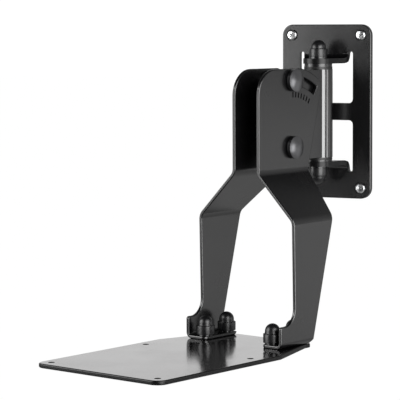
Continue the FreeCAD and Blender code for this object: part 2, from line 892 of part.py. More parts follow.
os.makedirs("parts", exist_ok=True)
for node, make in wall_side.items():
    make().exportStep("parts/" + node + ".step")
for node, make in head_side.items():
    turned_head(make()).exportStep("parts/" + node + ".step")
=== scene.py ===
import json
import math

import bmesh
import bpy
from mathutils import Matrix, Vector

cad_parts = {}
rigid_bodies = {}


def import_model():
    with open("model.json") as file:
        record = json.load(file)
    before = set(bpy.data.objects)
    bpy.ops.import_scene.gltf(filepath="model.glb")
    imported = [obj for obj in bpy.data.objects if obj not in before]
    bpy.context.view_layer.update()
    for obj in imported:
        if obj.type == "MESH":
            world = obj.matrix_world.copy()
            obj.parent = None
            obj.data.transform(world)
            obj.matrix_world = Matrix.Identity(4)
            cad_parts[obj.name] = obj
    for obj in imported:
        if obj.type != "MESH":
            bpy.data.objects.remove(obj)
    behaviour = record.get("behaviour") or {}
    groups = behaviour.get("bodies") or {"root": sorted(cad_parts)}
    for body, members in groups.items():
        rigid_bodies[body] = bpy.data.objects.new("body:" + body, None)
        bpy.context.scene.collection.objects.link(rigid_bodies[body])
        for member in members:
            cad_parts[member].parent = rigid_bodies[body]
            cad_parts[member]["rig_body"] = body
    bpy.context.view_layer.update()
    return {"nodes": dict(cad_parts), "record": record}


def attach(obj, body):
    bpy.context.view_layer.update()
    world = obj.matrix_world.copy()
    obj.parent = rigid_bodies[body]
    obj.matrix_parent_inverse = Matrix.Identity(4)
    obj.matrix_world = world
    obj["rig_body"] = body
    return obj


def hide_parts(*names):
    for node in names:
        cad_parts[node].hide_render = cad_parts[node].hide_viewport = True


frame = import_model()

mm = 0.001

# Sizes shared with the CAD model, in metres. The head and the cradle stand turned at rest.
swivel_at_rest = math.radians(-14.0)
swivel_y = -30.0 * mm
ear_outer_z = 62.7 * mm
washer_t = 1.8 * mm
foot_washer_t = 1.6 * mm
m10_nut_h = 8.0 * mm
bolt_end_past_nut = 2.5 * mm
arm_face_x = 19.2 * mm
arm_inner_x = 17.0 * mm
pivot_reach = 73.5 * mm
pivot_z = -36.4 * mm
lock_z = 39.5 * mm
foot_top_z = -249.0 * mm
foot_bolt_x = 48.3 * mm
foot_bolt_reaches = (110.893 * mm, 148.493 * mm)
plate_seat_y = -5.0 * mm
screw_x = 43.5 * mm
screw_z = 89.5 * mm

# The angle marks, about the pivot and from straight up towards the wall
mark_count = 7
mark_step_deg = 5.0
mark_middle_r = 59.55 * mm
mark_width = 2.1 * mm
mark_length = 6.0 * mm
mark_paint_t = 0.3 * mm
mark_paint_depth = 0.2 * mm
mark_ring = (55.0 * mm, 64.0 * mm)
mark_fan_deg = (-4, 34)

# How sheets are rounded at their edges
plate_edge = 0.45 * mm
arm_edge = 1.3 * mm
platform_edge = 0.3 * mm
cheek_edge = 0.5 * mm
merge_distance = 2e-6
flat_within_deg = 0.4
edge_over_deg = 50
ear_starts_y = -8.0 * mm

# The camera: place, pan, tilt below level, roll and focal length
camera_place = (0.88981, -2.15103, 0.10669)
camera_turn_deg = (26.21, 5.20, -0.26)
camera_lens = 177.07
camera_sensor = 36.0

# Soft lights: name, azimuth in degrees with 0 in front of the wall plate, distance, height, width,
# height of the panel, brightness
soft_boxes = [
    ("right_soft_box", 54.0, 1.5, 0.15, 1.25, 1.45, 8.5),
    ("right_fill", 98.0, 1.17, -0.13, 0.3, 0.4, 3.8),
    ("right_glow", 124.0, 1.3, -0.28, 0.6, 0.5, 0.55),
    ("left_soft_box", -47.0, 1.5, 0.17, 1.08, 1.1, 6.8),
]
lights_aim = Vector((0, -0.12, -0.08))
backdrop_direction = (-0.407, 0.914, 0)
floor_height = -0.9
floor_front_y = -1.5
floor_reach = 30.0

head_frame = Matrix.Translation((0, swivel_y, 0)) @ Matrix.Rotation(swivel_at_rest, 4, "Z")


def in_head(x, reach, z):
    """A point of the head or cradle, in the row frame."""
    return head_frame @ Vector((x, -reach, z))


def head_direction(x, y, z):
    """A direction of the head or cradle, in the row frame."""
    return head_frame.to_3x3() @ Vector((x, y, z))


# Node helpers

def add(tree, kind, settings=None, **inputs):
    """One node with its settings and its unlinked inputs; spaces in input names are underscores."""
    node = tree.nodes.new(kind)
    for key, value in (settings or {}).items():
        setattr(node, key, value)
    for key, value in inputs.items():
        node.inputs[key.replace("_", " ")].default_value = value
    return node


def fine_noise(tree, position, scale, detail=3.0, roughness=0.5):
    noise = add(tree, "ShaderNodeTexNoise", Scale=scale, Detail=detail, Roughness=roughness)
    tree.links.new(position, noise.inputs["Vector"])
    return noise.outputs["Fac"]


def spread(tree, value, low, high, from_low=0.3, from_high=0.7):
    """A noise value stretched to a range."""
    ranged = add(tree, "ShaderNodeMapRange", None,
                 From_Min=from_low, From_Max=from_high, To_Min=low, To_Max=high)
    tree.links.new(value, ranged.inputs["Value"])
    return ranged.outputs["Result"]


def tinted(tree, factor, dark, light):
    """A colour between two, by a factor."""
    mix = add(tree, "ShaderNodeMix", {"data_type": "RGBA"})
    mix.inputs[6].default_value = (*dark, 1)
    mix.inputs[7].default_value = (*light, 1)
    tree.links.new(factor, mix.inputs[0])
    return mix.outputs[2]


def bumped(tree, height, distance, strength, below=None):
    bump = add(tree, "ShaderNodeBump", Strength=strength, Distance=distance)
    tree.links.new(height, bump.inputs["Height"])
    if below is not None:
        tree.links.new(below, bump.inputs["Normal"])
    return bump.outputs["Normal"]


def new_material(name):
    """A material with an empty tree, its shader and the Object coordinates."""
    material = bpy.data.materials.new(name)
    material.use_nodes = True
    tree = material.node_tree
    tree.nodes.clear()
    shader = tree.nodes.new("ShaderNodeBsdfPrincipled")
    output = tree.nodes.new("ShaderNodeOutputMaterial")
    tree.links.new(shader.outputs["BSDF"], output.inputs["Surface"])
    position = tree.nodes.new("ShaderNodeTexCoord").outputs["Object"]
    return material, tree, shader, position


# Materials

def painted_outline_shade(tree, shader, start, end, lowest):
    """Less mirror reflection where a surface turns away from the view: painted shade that draws
    dark outlines along rounded edges and silhouettes.
    """
    turning = add(tree, "ShaderNodeLayerWeight", Blend=0.5)
    level = add(tree, "ShaderNodeMapRange", {"interpolation_type": "SMOOTHSTEP"},
                From_Min=start, From_Max=end, To_Min=0.5, To_Max=lowest)
    tree.links.new(turning.outputs["Facing"], level.inputs["Value"])
    tree.links.new(level.outputs["Result"], shader.inputs["Specular IOR Level"])


def powder_coat(name, roughness, peel, gloss):
    """Black coating: faint flow marks, slight clouding and a fine orange peel."""
    material, tree, shader, position = new_material(name)
    clouds = fine_noise(tree, position, 22.0, 4.0)
    grain = fine_noise(tree, position, 1500.0, 2.0)
    ripple = fine_noise(tree, position, 420.0, 3.0, 0.6)
    colour = tinted(tree, clouds, (0.0013, 0.0013, 0.0015), (0.0026, 0.0025, 0.0027))
    tree.links.new(colour, shader.inputs["Base Color"])
    tree.links.new(spread(tree, clouds, roughness - 0.03, roughness + 0.04),
                   shader.inputs["Roughness"])
    fine = bumped(tree, grain, 0.00003, peel)
    tree.links.new(bumped(tree, ripple, 0.00006, peel, fine), shader.inputs["Normal"])
    shader.inputs["IOR"].default_value = gloss
    # painted shade: dark outlines where the coating turns away from the view
    painted_outline_shade(tree, shader, 0.5, 0.85, 0.05)
    return material


def glossy_platform(name):
    """The platform's own coating, with a clear gloss that mirrors the backdrop, a little warm."""
    material, tree, shader, position = new_material(name)
    clouds = fine_noise(tree, position, 22.0, 4.0)
    grain = fine_noise(tree, position, 1500.0, 2.0)
    colour = tinted(tree, clouds, (0.0013, 0.0013, 0.0015), (0.0026, 0.0025, 0.0027))
    tree.links.new(colour, shader.inputs["Base Color"])
    tree.links.new(spread(tree, clouds, 0.12, 0.19), shader.inputs["Roughness"])
    tree.links.new(bumped(tree, grain, 0.00003, 0.1), shader.inputs["Normal"])
    shader.inputs["IOR"].default_value = 1.7
    shader.inputs["Specular Tint"].default_value = (1.0, 0.93, 0.94, 1.0)
    shader.inputs["Coat Weight"].default_value = 0.34
    shader.inputs["Coat Roughness"].default_value = 0.1
    return material


def blacked_steel(name, roughness, gloss):
    """Black plated steel: near black with a grey cast where it is rubbed."""
    material, tree, shader, position = new_material(name)
    clouds = fine_noise(tree, position, 160.0, 4.0)
    grain = fine_noise(tree, position, 2600.0, 2.0)
    colour = tinted(tree, clouds, (0.002, 0.002, 0.0023), (0.005, 0.005, 0.0055))
    tree.links.new(colour, shader.inputs["Base Color"])
    tree.links.new(spread(tree, clouds, roughness - 0.04, roughness + 0.06),
                   shader.inputs["Roughness"])
    tree.links.new(bumped(tree, grain, 0.00002, 0.1), shader.inputs["Normal"])
    shader.inputs["IOR"].default_value = gloss
    # painted shade: dark outlines where the steel turns away from the view
    painted_outline_shade(tree, shader, 0.5, 0.85, 0.05)
    return material


def black_nickel(name):
    """Smooth black nickel, a dark mirror with a faint haze."""
    material, tree, shader, position = new_material(name)
    clouds = fine_noise(tree, position, 160.0, 4.0)
    grain = fine_noise(tree, position, 2600.0, 2.0)
    tree.links.new(tinted(tree, clouds, (0.11, 0.11, 0.115), (0.15, 0.15, 0.155)),
                   shader.inputs["Base Color"])
    tree.links.new(spread(tree, clouds, 0.22, 0.27), shader.inputs["Roughness"])
    tree.links.new(bumped(tree, grain, 0.00002, 0.05), shader.inputs["Normal"])
    shader.inputs["Metallic"].default_value = 1.0
    return material


def moulded_plastic(name, colour_low, colour_high, roughness, gloss):
    """Moulded plastic with a light bloom."""
    material, tree, shader, position = new_material(name)
    clouds = fine_noise(tree, position, 240.0, 3.0)
    grain = fine_noise(tree, position, 3200.0, 2.0)
    tree.links.new(tinted(tree, clouds, colour_low, colour_high), shader.inputs["Base Color"])
    tree.links.new(spread(tree, clouds, roughness - 0.03, roughness + 0.05),
                   shader.inputs["Roughness"])
    tree.links.new(bumped(tree, grain, 0.00002, 0.08), shader.inputs["Normal"])
    shader.inputs["IOR"].default_value = gloss
    # painted shade: dark outlines where the plastic turns away from the view
    painted_outline_shade(tree, shader, 0.5, 0.85, 0.05)
    return material


def zinc_plate(name):
    """Bright zinc plate with a faint blue-yellow cast."""
    material, tree, shader, position = new_material(name)
    clouds = fine_noise(tree, position, 300.0, 4.0)
    grain = fine_noise(tree, position, 2400.0, 3.0)
    colour = tinted(tree, clouds, (0.42, 0.44, 0.47), (0.6, 0.59, 0.57))
    tree.links.new(colour, shader.inputs["Base Color"])
    tree.links.new(spread(tree, clouds, 0.2, 0.36), shader.inputs["Roughness"])
    tree.links.new(bumped(tree, grain, 0.00003, 0.3), shader.inputs["Normal"])
    shader.inputs["Metallic"].default_value = 1.0
    return material


coat = powder_coat("black_powder_coat", roughness=0.24, peel=0.12, gloss=1.6)
# A duller copy of the black coat for the sheets' edge faces: painted shade that darkens edges the
# lights would brighten
painted_shade_edge_coat = powder_coat("black_edge_coat", roughness=0.3, peel=0.12, gloss=1.3)
platform_coat = glossy_platform("black_platform_coat")
tube_coat = powder_coat("black_tube_coat", roughness=0.16, peel=0.05, gloss=1.78)
steel = blacked_steel("black_plated_steel", roughness=0.26, gloss=1.5)
head_steel = black_nickel("black_nickel")
caps_plastic = moulded_plastic("black_cap_plastic", (0.0015, 0.0015, 0.0018),
                               (0.0035, 0.0035, 0.004), roughness=0.34, gloss=1.46)
bush_plastic = moulded_plastic("black_bush_plastic", (0.003, 0.003, 0.003),
                               (0.006, 0.006, 0.006), roughness=0.4, gloss=1.38)
zinc = zinc_plate("bright_zinc")
mark_paint = moulded_plastic("mark_paint", (0.002, 0.002, 0.002), (0.004, 0.004, 0.004),
                             roughness=0.8, gloss=1.05)

node_finish = {
    "black_coat": coat, "black_steel": steel, "zinc": zinc,
    "cap_plastic": caps_plastic, "bush_plastic": bush_plastic,
}
slot_of = {part["node"]: part["material_slot"] for part in frame["record"]["subparts"]}
own_finish = {"swivel_tube": tube_coat, "platform": platform_coat}


def finish_nodes():
    """Every CAD node gets its own finish or the one of its slot."""
    for name, node in frame["nodes"].items():
        material = own_finish.get(name, node_finish[slot_of[name]])
        node.data.materials.clear()
        node.data.materials.append(material)


# Mesh helpers

def smooth_with_edges(mesh, angle_deg):
    mesh.shade_smooth()
    mesh.set_sharp_from_angle(angle=math.radians(angle_deg))


def new_piece(name, mesh, body, nodes=()):
    """A finished mesh as a piece that rides on a body and may stand for CAD nodes."""
    piece = bpy.data.objects.new(name, mesh)
    bpy.context.scene.collection.objects.link(piece)
    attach(piece, body)
    if nodes:
        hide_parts(*nodes)
    return piece


def rounded_profile(corners, steps=5):
    """Points (radius, height) along corners (radius, height, fillet)."""
    points = [corners[0][:2]]
    for before, here, after in zip(corners, corners[1:], corners[2:]):
        place = Vector(here[:2])
        if here[2] == 0:
            points.append(tuple(place))
            continue
        towards = (Vector(before[:2]) - place).normalized()
        away = (Vector(after[:2]) - place).normalized()
        half = towards.angle(away) / 2
        setback = here[2] / math.tan(half)
        centre = place + (towards + away).normalized() * (here[2] / math.sin(half))
        start = (place + towards * setback - centre).normalized()
        end = (place + away * setback - centre).normalized()
        for step in range(steps + 1):
            points.append(tuple(centre + start.slerp(end, step / steps) * here[2]))
    points.append(corners[-1][:2])
    return points


def turned_mesh(name, points, segments):
    """A closed shell of revolution about +Z; a radius of 0 makes a pole."""
    mesh = bpy.data.meshes.new(name)
    shell = bmesh.new()
    rings = []
    for radius, height in points:
        if radius < 1e-9:
            rings.append([shell.verts.new((0, 0, height))] * segments)
            continue
        angles = [2 * math.pi * k / segments for k in range(segments)]
        rings.append([
            shell.verts.new((radius * math.cos(a), radius * math.sin(a), height)) for a in angles
        ])
    for lower, upper in zip(rings, rings[1:]):
        for k in range(segments):
            following = (k + 1) % segments
            around = [lower[k], lower[following], upper[following], upper[k]]
            shell.faces.new(list(dict.fromkeys(around)))
    bmesh.ops.recalc_face_normals(shell, faces=shell.faces)
    shell.to_mesh(mesh)
    shell.free()
    return mesh


# The same fastener at several places

def geometry_tree(name, inputs, made):
    """An empty geometry tree with its inputs (name, kind) and the name of what it makes."""
    tree = bpy.data.node_groups.new(name, "GeometryNodeTree")
    for label, kind in inputs:
        tree.interface.new_socket(label, in_out="INPUT", socket_type="NodeSocket" + kind)
    tree.interface.new_socket(made, in_out="OUTPUT", socket_type="NodeSocketGeometry")
    return tree, tree.nodes.new("NodeGroupInput"), tree.nodes.new("NodeGroupOutput")


def repeat_tree():
    """Stands a template on every point, along the point's own direction, with a random turn."""
    tree, given, result = geometry_tree("same_piece_at_places", [
        ("Places", "Geometry"), ("Template", "Object"), ("Size", "Float"),
        ("Turn spread", "Float"), ("Seed", "Int"), ("Finish", "Material"),
    ], "Pieces")
    template = tree.nodes.new("GeometryNodeObjectInfo")
    facing = tree.nodes.new("GeometryNodeInputNamedAttribute")
    facing.data_type = "FLOAT_VECTOR"
    facing.inputs["Name"].default_value = "facing"
    stand = tree.nodes.new("FunctionNodeAlignRotationToVector")
    stand.axis = "Z"
    chance = tree.nodes.new("FunctionNodeRandomValue")
    turn = tree.nodes.new("FunctionNodeAxisAngleToRotation")
    turn.inputs["Axis"].default_value = (0, 0, 1)
    both = tree.nodes.new("FunctionNodeRotateRotation")
    both.rotation_space = "LOCAL"
    instance = tree.nodes.new("GeometryNodeInstanceOnPoints")
    real = tree.nodes.new("GeometryNodeRealizeInstances")
    finish = tree.nodes.new("GeometryNodeSetMaterial")
    link = tree.links.new
    link(given.outputs["Template"], template.inputs["Object"])
    link(facing.outputs["Attribute"], stand.inputs["Vector"])
    link(given.outputs["Turn spread"], chance.inputs[3])
    link(given.outputs["Seed"], chance.inputs["Seed"])
    link(chance.outputs[1], turn.inputs["Angle"])
    link(stand.outputs["Rotation"], both.inputs["Rotation"])
    link(turn.outputs["Rotation"], both.inputs["Rotate By"])
    link(given.outputs["Places"], instance.inputs["Points"])
    link(template.outputs["Geometry"], instance.inputs["Instance"])
    link(both.outputs["Rotation"], instance.inputs["Rotation"])
    link(given.outputs["Size"], instance.inputs["Scale"])
    link(instance.outputs["Instances"], real.inputs["Geometry"])
    link(real.outputs["Geometry"], finish.inputs["Geometry"])
    link(given.outputs["Finish"], finish.inputs["Material"])
    link(finish.outputs["Geometry"], result.inputs["Pieces"])
    return tree


def set_inputs(modifier, values):
    """Sets a modifier's inputs by their sockets' identifiers."""
    for item in modifier.node_group.interface.items_tree:
        if item.item_type == "SOCKET" and item.in_out == "INPUT" and item.name in values:
            modifier[item.identifier] = values[item.name]


def evaluated_mesh(holder, tree, values, name):
    """The plain mesh that a tree makes on an object, which is then removed."""
    bpy.context.scene.collection.objects.link(holder)
    modifier = holder.modifiers.new("made", "NODES")
    modifier.node_group = tree
    set_inputs(modifier, values)
    graph = bpy.context.evaluated_depsgraph_get()
    mesh = bpy.data.meshes.new_from_object(holder.evaluated_get(graph))
    mesh.name = name
    bpy.data.objects.remove(holder)
    return mesh


def repeated(name, template_mesh, places, finish, turn_spread=0.0, seed=3):
    """One mesh with the template standing at each (place, direction)."""
    points = bpy.data.meshes.new(name + "_places")
    points.from_pydata([place for place, direction in places], [], [])
    facing = points.attributes.new("facing", "FLOAT_VECTOR", "POINT")
    for item, (place, direction) in zip(facing.data, places):
        item.vector = direction
    template = bpy.data.objects.new(name + "_template", template_mesh)
    bpy.context.scene.collection.objects.link(template)
    holder = bpy.data.objects.new(name + "_holder", points)
    values = {"Template": template, "Size": 1.0, "Turn spread": turn_spread, "Seed": seed,
              "Finish": finish}
    mesh = evaluated_mesh(holder, repeat, values, name)
    bpy.data.objects.remove(template)
    if "facing" in mesh.attributes:
        mesh.attributes.remove(mesh.attributes["facing"])
    return mesh


repeat = repeat_tree()
up = Vector((0, 0, 1))


# Nut caps

def cap_mesh(name, collar_r, collar_h, dome_r, height, pocket_r, pocket_h, bore_r, bore_h):
    """A domed cap with a thin collar, hollow for the nut and the bolt's end."""
    shoulder = height - dome_r
    inside = [(0, bore_h), (bore_r, bore_h), (bore_r, pocket_h), (pocket_r, pocket_h),
              (pocket_r, 0)]
    outside = rounded_profile([
        (pocket_r, 0, 0), (collar_r, 0, 0.3 * mm), (collar_r, collar_h, 0.7 * mm),
        (dome_r + 0.15 * mm, collar_h, 0.5 * mm), (dome_r, shoulder, 0)
    ])
    dome = [
        (dome_r * math.cos(math.radians(a)), shoulder + dome_r * math.sin(math.radians(a)))
        for a in range(0, 90, 6)
    ]
    mesh = turned_mesh(name, inside + outside[1:] + dome[1:] + [(0, height)], 64)
    smooth_with_edges(mesh, 40)
    return mesh


def make_caps():
    m10_cap = cap_mesh(
        "m10_cap", collar_r=10.6 * mm, collar_h=9.5 * mm, dome_r=8.8 * mm, height=19.5 * mm,
        pocket_r=9.95 * mm, pocket_h=8.1 * mm, bore_r=5.3 * mm, bore_h=11.5 * mm)
    m8_cap = cap_mesh(
        "m8_cap", collar_r=10.4 * mm, collar_h=10.0 * mm, dome_r=8.45 * mm, height=21.2 * mm,
        pocket_r=7.75 * mm, pocket_h=6.6 * mm, bore_r=4.3 * mm, bore_h=10.0 * mm)
    seat = ear_outer_z + washer_t
    swivel = [(Vector((0, swivel_y, side * seat)), up * side) for side in (1, -1)]
    outward = head_direction(-1, 0, 0)
    tilt = [(in_head(-arm_face_x - washer_t, pivot_reach, z), outward) for z in (pivot_z, lock_z)]
    feet = [
        (in_head(side * foot_bolt_x, reach, foot_top_z + foot_washer_t), up)
        for side in (-1, 1) for reach in foot_bolt_reaches
    ]
    jobs = [
        ("caps_on_swivel", m10_cap, swivel, "wall_side", "swivel_caps"),
        ("caps_on_cross_bolts", m10_cap, tilt, "swivel_head", "tilt_caps"),
        ("caps_on_feet", m8_cap, feet, "cradle", "foot_caps"),
    ]
    for name, template, places, body, node in jobs:
        mesh = repeated(name, template, places, caps_plastic, turn_spread=6.28)
        new_piece(name, mesh, body, [node])


# Cross bolts with their round heads

def make_cross_bolts():
    base, side, height, dome_edge = 1.6 * mm, 5.6 * mm, 7.8 * mm, 12.8 * mm
    washer_r, shank_r, end_r, end_chamfer = 10.6 * mm, 5.0 * mm, 4.3 * mm, 0.8 * mm
    rings = 16
    sphere = (dome_edge ** 2 + (height - side) ** 2) / (2 * (height - side))
    dome = []
    for step in range(1, rings + 1):
        radius = dome_edge * (1 - step / rings)
        dome.append((radius, height - sphere + math.sqrt(sphere ** 2 - radius ** 2)))
    reach = 2 * arm_face_x + washer_t + m10_nut_h + bolt_end_past_nut
    profile = rounded_profile([
        (0, -reach, 0), (end_r, -reach, 0), (shank_r, -reach + end_chamfer, 0), (shank_r, 0, 0),
        (washer_r, 0, 0), (washer_r, base, 0), (dome_edge, base, 0.2 * mm), (dome_edge, side, 0)
    ])
    mesh = turned_mesh("cross_bolt", profile + dome, 96)
    smooth_with_edges(mesh, 42)
    outward = head_direction(1, 0, 0)
    places = [(in_head(arm_face_x, pivot_reach, z), outward) for z in (pivot_z, lock_z)]
    made = repeated("cross_bolts", mesh, places, head_steel)
    new_piece("cross_bolts", made, "swivel_head", ["pivot_bolt", "lock_bolt"])


# Wall screws

def screw_thread(outer_r, core_r, start, end, pitch, point):
    """A threaded shank along -Z from start to end, tapering to its point."""
    shell = bmesh.new()
    around, rows_per_turn = 20, 9
    rows = int((end - start) / pitch * rows_per_turn)
    rings = []
    for row in range(rows + 1):
        depth = start + (end - start) * row / rows
        taper = min(1.0, (end - depth) / point) if end > depth else 0.0
        ring = []
        for k in range(around):
            turn = k / around
            wave = abs(((depth / pitch - turn) % 1.0) * 2 - 1)
            ridge = max(0.0, wave * 1.6 - 0.6)
            radius = (core_r + (outer_r - core_r) * ridge) * max(taper, 0.12)
            angle = 2 * math.pi * turn
            ring.append(shell.verts.new(
                (radius * math.cos(angle), radius * math.sin(angle), -depth)))
        rings.append(ring)
    for upper, lower in zip(rings, rings[1:]):
        for k in range(around):
            following = (k + 1) % around
            shell.faces.new((upper[k], upper[following], lower[following], lower[k]))
    shell.faces.new(rings[0])
    shell.faces.new(rings[-1])
    bmesh.ops.recalc_face_normals(shell, faces=shell.faces)
    mesh = bpy.data.meshes.new("screw_thread")
    shell.to_mesh(mesh)
    shell.free()
    mesh.shade_smooth()
    return mesh


def recess_cutter():
    """A tapered cross, widest at the head's top."""
    shell = bmesh.new()
    length, width, top, bottom, narrower = 6.8 * mm, 1.35 * mm, 4.6 * mm, 1.6 * mm, 0.62
    for angle in (20, 110):
        made = bmesh.ops.create_cube(shell, size=1.0)["verts"]
        for vert in made:
            taper, height = (1.0, top) if vert.co.z > 0 else (narrower, bottom)
            vert.co = Vector((vert.co.x * length * taper, vert.co.y * width * taper, height))
            vert.co.rotate(Matrix.Rotation(math.radians(angle), 3, "Z"))
    mesh = bpy.data.meshes.new("recess_cutter")
    shell.to_mesh(mesh)
    shell.free()
    return mesh


def pan_head():
    """A pan head with its cross recess, its seat at the origin and its top along +Z."""
    dome = rounded_profile([
        (0, -0.4 * mm, 0), (2.3 * mm, -0.4 * mm, 0), (2.3 * mm, 0, 0), (6.0 * mm, 0, 0.35 * mm),
        (6.0 * mm, 1.9 * mm, 1.0 * mm), (4.9 * mm, 3.4 * mm, 1.6 * mm), (0, 4.0 * mm, 0)
    ], 6)
    head = bpy.data.objects.new("pan_head", turned_mesh("pan_head", dome, 56))
    cutter = bpy.data.objects.new("recess", recess_cutter())
    for piece in (head, cutter):
        bpy.context.scene.collection.objects.link(piece)
    cut = head.modifiers.new("recess", "BOOLEAN")
    cut.object = cutter
    cut.solver = "EXACT"
    cut.use_self = True
    graph = bpy.context.evaluated_depsgraph_get()
    mesh = bpy.data.meshes.new_from_object(head.evaluated_get(graph))
    bpy.data.objects.remove(head)
    bpy.data.objects.remove(cutter)
    return mesh


def make_wall_screws():
    joined = bmesh.new()
    joined.from_mesh(pan_head())
    joined.from_mesh(screw_thread(outer_r=2.75 * mm, core_r=2.05 * mm, start=0.2 * mm,
                                  end=22.98 * mm, pitch=1.9 * mm, point=5.0 * mm))
    mesh = bpy.data.meshes.new("wall_screw")
    joined.to_mesh(mesh)
    joined.free()
    smooth_with_edges(mesh, 38)
    forward = Vector((0, -1, 0))
    places = [
        (Vector((sx * screw_x, plate_seat_y, sz * screw_z)), forward)
        for sx in (-1, 1) for sz in (-1, 1)
    ]
    made = repeated("screws_in_wall_plate", mesh, places, zinc, turn_spread=1.5, seed=8)
    new_piece("screws_in_wall_plate", made, "wall_side", ["wall_screws"])


# Angle marks

def mark_tree():
    """Strokes spaced by an angle about the pivot, along a radius, as thin fills."""
    tree, given, result = geometry_tree("angle_strokes", [
        ("Count", "Int"), ("Step", "Float"), ("Radius", "Float"), ("Width", "Float"),
        ("Length", "Float"), ("Thickness", "Float"), ("Finish", "Material"),
    ], "Strokes")
    link = tree.links.new
    places = tree.nodes.new("GeometryNodePoints")
    index = tree.nodes.new("GeometryNodeInputIndex")
    angle = add(tree, "ShaderNodeMath", {"operation": "MULTIPLY"})
    sine = add(tree, "ShaderNodeMath", {"operation": "SINE"})
    cosine = add(tree, "ShaderNodeMath", {"operation": "COSINE"})
    at = tree.nodes.new("ShaderNodeCombineXYZ")
    scaled = add(tree, "ShaderNodeVectorMath", {"operation": "SCALE"})
    size = tree.nodes.new("ShaderNodeCombineXYZ")
    stroke = tree.nodes.new("GeometryNodeMeshCube")
    turn = tree.nodes.new("FunctionNodeAxisAngleToRotation")
    turn.inputs["Axis"].default_value = (1, 0, 0)
    instance = tree.nodes.new("GeometryNodeInstanceOnPoints")
    real = tree.nodes.new("GeometryNodeRealizeInstances")
    finish = tree.nodes.new("GeometryNodeSetMaterial")
    link(given.outputs["Count"], places.inputs["Count"])
    link(index.outputs[0], angle.inputs[0])
    link(given.outputs["Step"], angle.inputs[1])
    link(angle.outputs[0], sine.inputs[0])
    link(angle.outputs[0], cosine.inputs[0])
    link(sine.outputs[0], at.inputs["Y"])
    link(cosine.outputs[0], at.inputs["Z"])
    link(at.outputs[0], scaled.inputs[0])
    link(given.outputs["Radius"], scaled.inputs["Scale"])
    link(scaled.outputs[0], places.inputs["Position"])
    link(given.outputs["Thickness"], size.inputs["X"])
    link(given.outputs["Width"], size.inputs["Y"])
    link(given.outputs["Length"], size.inputs["Z"])
    link(size.outputs[0], stroke.inputs["Size"])
    negative = add(tree, "ShaderNodeMath", {"operation": "MULTIPLY"})
    negative.inputs[1].default_value = -1.0
    link(angle.outputs[0], negative.inputs[0])
    link(negative.outputs[0], turn.inputs["Angle"])
    link(places.outputs[0], instance.inputs["Points"])
    link(stroke.outputs["Mesh"], instance.inputs["Instance"])
    link(turn.outputs["Rotation"], instance.inputs["Rotation"])
    link(instance.outputs["Instances"], real.inputs["Geometry"])
    link(real.outputs["Geometry"], finish.inputs["Geometry"])
    link(given.outputs["Finish"], finish.inputs["Material"])
    link(finish.outputs["Geometry"], result.inputs["Strokes"])
    return tree


def make_angle_marks():
    tree = mark_tree()
    values = {
        "Count": mark_count, "Step": math.radians(mark_step_deg), "Radius": mark_middle_r,
        "Width": mark_width, "Length": mark_length, "Thickness": mark_paint_t,
        "Finish": mark_paint,
    }
    turned = Matrix.Rotation(swivel_at_rest, 4, "Z")
    for side, name in ((1, "marks_on_right_arm"), (-1, "marks_on_left_arm")):
        holder = bpy.data.objects.new(name + "_holder", bpy.data.meshes.new(name + "_holder"))
        mesh = evaluated_mesh(holder, tree, values, name)
        place = in_head(side * (arm_face_x - mark_paint_depth), pivot_reach, pivot_z)
        mesh.transform(Matrix.Translation(place) @ turned)
        new_piece(name, mesh, "cradle")


# Sheet metal with its rounded edges

def away_from_marks(edge):
    """True for an edge that isn't part of an angle mark's groove."""
    middle = head_frame.inverted() @ ((edge.verts[0].co + edge.verts[1].co) / 2)
    behind, above = pivot_reach + middle.y, middle.z - pivot_z
    on_ring = mark_ring[0] < math.hypot(behind, above) < mark_ring[1]
    on_fan = mark_fan_deg[0] < math.degrees(math.atan2(behind, above)) < mark_fan_deg[1]
    return not (on_ring and on_fan) or abs(middle.x) < arm_inner_x


def softened_sheet(node, width, flat_side, wanted=None):
    """A merged copy of a CAD sheet with rounded sharp edges, all or the wanted, for that node.

    The faces square to the flat side keep plain shading. Where all edges are rounded, the width
    is held back by short edges."""
    source = frame["nodes"][node]
    sheet = bmesh.new()
    sheet.from_mesh(source.data)
    bmesh.ops.remove_doubles(sheet, verts=sheet.verts, dist=merge_distance)
    bmesh.ops.dissolve_limit(sheet, angle_limit=math.radians(flat_within_deg),
                             verts=sheet.verts, edges=sheet.edges,
                             use_dissolve_boundaries=False)
    sharp = [
        e for e in sheet.edges
        if len(e.link_faces) == 2 and e.calc_face_angle() > math.radians(edge_over_deg)
        and (wanted is None or wanted(e))
    ]
    bmesh.ops.bevel(sheet, geom=sharp, offset=width, offset_type="OFFSET", segments=3,
                    profile=0.5, affect="EDGES", clamp_overlap=wanted is None)
    mesh = bpy.data.meshes.new(node + "_finished")
    sheet.to_mesh(mesh)
    sheet.free()
    smooth_with_edges(mesh, 40)
    for face in mesh.polygons:
        face.use_smooth = abs(face.normal.dot(flat_side)) < 0.9999
    mesh.materials.append(source.data.materials[0])
    piece = new_piece(node + "_finished", mesh, source["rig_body"], [node])
    shading = piece.modifiers.new("even_shading", "WEIGHTED_NORMAL")
    shading.keep_sharp = True
    return piece


def finish_some_faces(piece, material, wanted):
    """A second finish on the faces that are wanted."""
    piece.data.materials.append(material)
    for face in piece.data.polygons:
        face.material_index = 1 if wanted(face) else 0


def make_sheets():
    forward, sideways = Vector((0, -1, 0)), head_direction(1, 0, 0)
    arm_front = head_direction(0, -1, 0)
    plate = softened_sheet("wall_plate", plate_edge, forward)
    # the edge faces get the duller coat copy, which is painted shade
    finish_some_faces(plate, painted_shade_edge_coat,
                      lambda face: abs(face.normal.z) < 0.5 and face.center.y < ear_starts_y)
    for name in ("arm_left", "arm_right"):
        arm = softened_sheet(name, arm_edge, sideways, away_from_marks)
        finish_some_faces(arm, painted_shade_edge_coat, lambda face: face.normal.dot(arm_front) > 0.97)
    platform = softened_sheet("platform", platform_edge, up)
    finish_some_faces(platform, painted_shade_edge_coat, lambda face: face.normal.z < 0.75)
    for name in ("yoke_cheek_left", "yoke_cheek_right"):
        softened_sheet(name, cheek_edge, sideways)


# Camera, lights and surroundings

